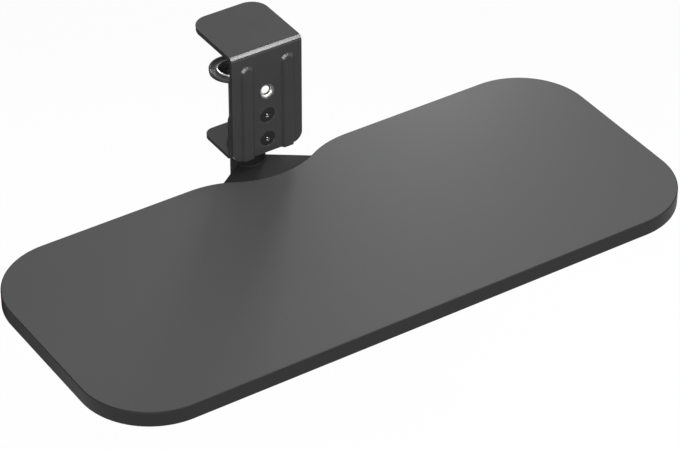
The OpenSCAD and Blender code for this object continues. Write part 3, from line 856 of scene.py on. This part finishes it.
class TRAY_OT_board(bpy.types.Operator):
    """Finishes the board's faces, core and edge, and rounds the edge's outer corners"""

    bl_idname = "tray.board"
    bl_label = "Board"

    def execute(self, context):
        sizes = context.scene.tray_hardware
        for name in ("top_laminate", "bottom_laminate"):
            dress(name, finished(board_laminate))
        dress("board_core", finished(particle_board))
        self.rounded_band(finished(edge_band), sizes.arris)
        return {"FINISHED"}

    def plan(self, vert):
        """Where a vertex lies in plan, to the hundredth of a millimetre."""
        digits = 5
        return round(vert.co.x, digits), round(vert.co.y, digits)

    def rounded_band(self, material, arris):
        """The band with its two outer edges rounded; its inner edges lie on the laminate's outline."""
        level = 0.1 * MM
        bm = merged_copy("edge_band")
        inner = {self.plan(vert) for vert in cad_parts["top_laminate"].data.vertices}
        outside = {vert for vert in bm.verts if self.plan(vert) not in inner}
        rims = [
            edge for edge in bm.edges
            if all(vert in outside for vert in edge.verts)
            and abs(edge.verts[0].co.z - edge.verts[1].co.z) < level
        ]
        round_off(bm, rims, arris)
        bmesh.ops.recalc_face_normals(bm, faces=bm.faces)
        band = new_piece("rounded_edge_band", bm, material, "tray")
        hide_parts("edge_band")
        even_normals(band)


class TRAY_OT_hardware(bpy.types.Operator):
    """Finishes the pivot's hardware and the board's screws"""

    bl_idname = "tray.hardware"
    bl_label = "Hardware"

    def execute(self, context):
        sizes = context.scene.tray_hardware
        for make, names in (
            (zinc_plate, ("pivot_bolt", "pivot_sleeve", "pivot_washer", "pivot_nut", "board_inserts")),
            (natural_nylon, ("thrust_washer", "upper_bushing", "lower_bushing")),
            (black_oxide, ("board_screws",)),
            (cap_plastic, ("hub_cap",)),
        ):
            for name in names:
                room = sizes.running_room if name == "pivot_washer" else 0
                dress(name, finished(make), sizes.edge_round, room=room)
        return {"FINISHED"}


class TRAY_OT_bracket_screws(bpy.types.Operator):
    """Models the pinned countersunk screws that join the brackets, and the free hole's bare wall"""

    bl_idname = "tray.bracket_screws"
    bl_label = "Bracket screws"

    def execute(self, context):
        sizes = context.scene.tray_hardware
        low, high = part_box("bracket_screws")
        head = high.x
        lower, upper = low.z + head, high.z - head
        out = Matrix.Rotation(math.pi / 2, 4, "X")
        both = bmesh.new()
        pins = bmesh.new()
        for height in (lower, upper):
            place = Matrix.Translation((0, low.y, height)) @ out
            add_moved(both, self.head(head, sizes), place)
            shank = bmesh.new()
            neck = sizes.screw_d / 2 - head
            thread(shank, sizes.screw_d / 2, sizes.thread_depth, sizes.pitch, low.y - high.y, neck)
            add_moved(both, shank, place)
            add_moved(pins, self.pin(sizes), place)
        screws = new_piece("socket_bracket_screws", both, finished(black_oxide), "clamp")
        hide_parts("bracket_screws")
        even_normals(screws)
        new_piece("socket_pins", pins, finished(zinc_plate), "clamp")
        seat = bmesh.new()
        free_hole = Matrix.Translation((0, low.y, 2 * upper - lower)) @ out
        add_moved(seat, self.seat(head), free_hole)
        new_piece("bare_countersink", seat, finished(zinc_plate), "clamp")
        return {"FINISHED"}

    def head(self, radius, sizes):
        """A countersunk head with a hexagon socket, its flat face on z = 0."""
        around = 72
        rim = 0.3 * MM
        socket = sizes.bracket_socket
        shank = sizes.screw_d / 2
        bm = bmesh.new()
        loops = [
            circle(bm, socket / math.sqrt(3) + rim, 0, around),
            circle(bm, radius - 2 * rim, 0, around),
            circle(bm, radius - rim / 2, -rim / 4, around),
            circle(bm, radius, -rim, around),
            circle(bm, shank, shank - radius, around),
            circle(bm, shank - sizes.thread_depth, shank - radius - rim, around),
        ]
        bridge(bm, loops)
        hex_socket(bm, loops[0], socket, -rim, -sizes.socket_depth)
        cap(bm, loops[-1])
        bmesh.ops.recalc_face_normals(bm, faces=bm.faces)
        return bm

    def pin(self, sizes):
        """The domed pin in the middle of a socket."""
        radius = 1.2 * MM
        centre = -1.3 * radius
        steps = 6
        dome = [math.pi / 2 * step / steps for step in range(steps + 1)]
        outline = [(radius * math.sin(turn), radius * math.cos(turn) + centre) for turn in dome]
        outline += [(radius, -sizes.socket_depth), (0, -sizes.socket_depth)]
        return lathe(outline, segments=32)

    def seat(self, radius):
        """A thin cone: the bare machined wall of the countersunk hole that is left free."""
        edge = 0.35 * MM
        deep = 4.2 * MM
        skin = 0.07 * MM
        outline = [
            (radius - edge, -edge), (radius - deep, -deep),
            (radius - deep - skin, skin - deep), (radius - edge - skin, skin - edge),
        ]
        return lathe(outline, segments=96, closed=True)


class TRAY_OT_clamp_screws(bpy.types.Operator):
    """Models the threaded clamp screws with knurled socket heads and riveted tips"""

    bl_idname = "tray.clamp_screws"
    bl_label = "Clamp screws"

    def execute(self, context):
        sizes = context.scene.tray_hardware
        low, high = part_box("left_clamp_screw")
        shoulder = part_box("left_press_disc")[0].z
        collar = shoulder - 3 * MM
        overlap = 0.5 * MM
        whole = self.head((high.x - low.x) / 2, low.z, sizes)
        add_moved(whole, self.tip(collar, shoulder, high.z, sizes), Matrix())
        rod = bmesh.new()
        thread(
            rod, sizes.screw_d / 2, sizes.thread_depth, sizes.pitch,
            low.z + sizes.clamp_head - overlap, collar + overlap,
        )
        add_moved(whole, rod, Matrix())
        for side in ("left", "right"):
            low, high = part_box(f"{side}_clamp_screw")
            middle = (low + high) / 2
            moved = whole.copy()
            bmesh.ops.translate(moved, vec=(middle.x, middle.y, 0), verts=moved.verts)
            screw = new_piece(
                f"{side}_threaded_screw", moved, finished(black_oxide), f"{side}_screw"
            )
            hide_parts(f"{side}_clamp_screw")
            even_normals(screw)
        whole.free()
        return {"FINISHED"}

    def head(self, radius, bottom, sizes):
        """A knurled cylinder head with its hexagon socket underneath."""
        around = 2 * sizes.knurls
        top = bottom + sizes.clamp_head
        deep = sizes.clamp_head / 2
        rim = 0.4 * MM
        ridge = 0.3 * MM
        socket = sizes.clamp_socket
        bm = bmesh.new()
        loops = [
            circle(bm, socket / math.sqrt(3) + rim, bottom, around),
            circle(bm, radius - 2 * rim, bottom, around),
            circle(bm, radius - rim, bottom + rim / 2, around),
            knurled(bm, radius, ridge, bottom + 2 * rim, sizes.knurls),
            knurled(bm, radius, ridge, top - rim, sizes.knurls),
            circle(bm, radius - rim, top, around),
            circle(bm, sizes.screw_d / 2, top, around),
        ]
        bridge(bm, loops)
        hex_socket(bm, loops[0], socket, rim, deep)
        cap(bm, loops[-1])
        bmesh.ops.recalc_face_normals(bm, faces=bm.faces)
        return bm

    def tip(self, collar, shoulder, top, sizes):
        """A plain collar under the press disc and the rivet head spun over in its cup."""
        radius = sizes.screw_d / 2
        chamfer = 0.3 * MM
        shank = 3 * MM
        gap = 0.05 * MM
        outline = [
            (0, collar), (radius - chamfer, collar), (radius, collar + chamfer),
            (radius, shoulder - gap), (shank, shoulder - gap),
        ]
        # The rivet head in millimetres: radius and depth under its top
        rivet = (
            (3, 2.35), (5.5, 2.35), (5.5, 1.35), (5.2, 0.45), (4.4, 0), (1.7, 0), (1.2, 0.4), (0, 0.5)
        )
        outline += [(reach * MM, top - deep * MM) for reach, deep in rivet]
        return lathe(outline, segments=64)


class TRAY_OT_pads(bpy.types.Operator):
    """Models the foam pad under the jaw and the rubber pads and their eyelets on the discs"""

    bl_idname = "tray.pads"
    bl_label = "Pads"

    def execute(self, context):
        sizes = context.scene.tray_hardware
        pads = [self.jaw_pad(sizes)]
        for side in ("left", "right"):
            pads.append(self.ring_pad(side, sizes))
            self.eyelet(side, sizes)
        for pad in pads:
            even_normals(pad)
        return {"FINISHED"}

    def soften(self, bm, height, radius):
        """Rounds the sharp edges that run at one height."""
        level = 0.01 * MM
        sharp = math.radians(20)
        rims = [
            edge for edge in bm.edges
            if all(abs(vert.co.z - height) < level for vert in edge.verts)
            and edge.calc_face_angle(0) > sharp
        ]
        round_off(bm, rims, radius)

    def ring(self, outline, rim, radius, middle):
        """A ring turned from an outline, rounded at the height of its rim and set over its disc."""
        bm = lathe(outline, segments=96, closed=True)
        self.soften(bm, rim, radius)
        bmesh.ops.translate(bm, vec=(middle.x, middle.y, 0), verts=bm.verts)
        bmesh.ops.recalc_face_normals(bm, faces=bm.faces)
        return bm

    def jaw_pad(self, sizes):
        """A sheet of foam whose cut edge swells at half its height."""
        low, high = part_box("jaw_pad")
        bm = merged_copy("jaw_pad")
        cut = cut_across(bm, (low.z + high.z) / 2)
        bm.normal_update()
        for item in cut:
            if isinstance(item, bmesh.types.BMVert):
                item.co += item.normal * sizes.pad_bulge
        self.soften(bm, low.z, sizes.pad_round)
        bmesh.ops.recalc_face_normals(bm, faces=bm.faces)
        pad = new_piece("foam_jaw_pad", bm, finished(foam_rubber), "clamp")
        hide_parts("jaw_pad")
        return pad

    def ring_pad(self, side, sizes):
        """A rubber ring with a swollen side, a bead round its rim and a sunk face inside it."""
        low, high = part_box(f"{side}_press_pad")
        middle = (low + high) / 2
        outside = (high.x - low.x) / 2
        face = high.z - sizes.pad_lip
        bead = outside - 1.8 * MM
        foot = bead - 0.6 * MM
        outline = [
            (sizes.pad_bore, low.z), (outside, low.z), (outside + sizes.pad_bulge, middle.z),
            (outside, high.z), (bead, high.z), (foot, face), (sizes.pad_bore, face),
        ]
        bm = self.ring(outline, high.z, sizes.pad_round / 2, middle)
        pad = new_piece(
            f"rubber_{side}_press_pad", bm, finished(moulded_rubber), f"{side}_press"
        )
        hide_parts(f"{side}_press_pad")
        return pad

    def eyelet(self, side, sizes):
        """The plated ring that holds a rubber pad on its disc, its lip just under the pad's bead."""
        low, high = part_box(f"{side}_press_pad")
        middle = (low + high) / 2
        wall = 0.5 * MM
        sunk = 0.05 * MM
        face = high.z - sizes.pad_lip - sunk
        top = high.z - 3 * sunk
        bore = sizes.pad_bore - sunk
        crest = bore + 0.9 * MM
        slope = math.radians(57)
        foot = crest + (top - face) / math.tan(slope)
        outline = [
            (bore - wall, low.z + sunk), (bore, low.z + sunk), (bore, face), (foot, face),
            (crest, top), (bore - wall, top - sunk),
        ]
        bm = self.ring(outline, top, wall / 2, middle)
        ring = new_piece(
            f"{side}_pad_eyelet", bm, finished(zinc_plate), f"{side}_press"
        )
        even_normals(ring)


class TRAY_PT_sidebar(bpy.types.Panel):
    """Lists the tray's operators and settings"""

    bl_idname = "TRAY_PT_sidebar"
    bl_label = "Swivel tray"
    bl_space_type = "VIEW_3D"
    bl_region_type = "UI"
    bl_category = "Tray"

    def draw(self, context):
        for operator in OPERATORS:
            self.layout.operator(operator.bl_idname)
        for group in SETTINGS:
            settings = getattr(context.scene, group)
            for name in settings.__annotations__:
                self.layout.prop(settings, name)


OPERATORS = (
    TRAY_OT_stage, TRAY_OT_coated_steel, TRAY_OT_welds, TRAY_OT_board, TRAY_OT_hardware,
    TRAY_OT_bracket_screws, TRAY_OT_clamp_screws, TRAY_OT_pads,
)
SETTINGS = {"tray_finish": TrayFinish, "tray_hardware": TrayHardware, "tray_studio": TrayStudio}


def register():
    for group in SETTINGS.values():
        bpy.utils.register_class(group)
    for name, group in SETTINGS.items():
        setattr(bpy.types.Scene, name, PointerProperty(type=group))
    for kind in (*OPERATORS, TRAY_PT_sidebar):
        bpy.utils.register_class(kind)


def unregister():
    for kind in (TRAY_PT_sidebar, *reversed(OPERATORS)):
        bpy.utils.unregister_class(kind)
    for name in SETTINGS:
        delattr(bpy.types.Scene, name)
    for group in reversed(SETTINGS.values()):
        bpy.utils.unregister_class(group)


def main():
    register()
    bpy.ops.tray.stage()
    bpy.ops.tray.coated_steel()
    bpy.ops.tray.welds()
    bpy.ops.tray.board()
    bpy.ops.tray.hardware()
    bpy.ops.tray.bracket_screws()
    bpy.ops.tray.clamp_screws()
    bpy.ops.tray.pads()


if __name__ == "__main__":
    main()
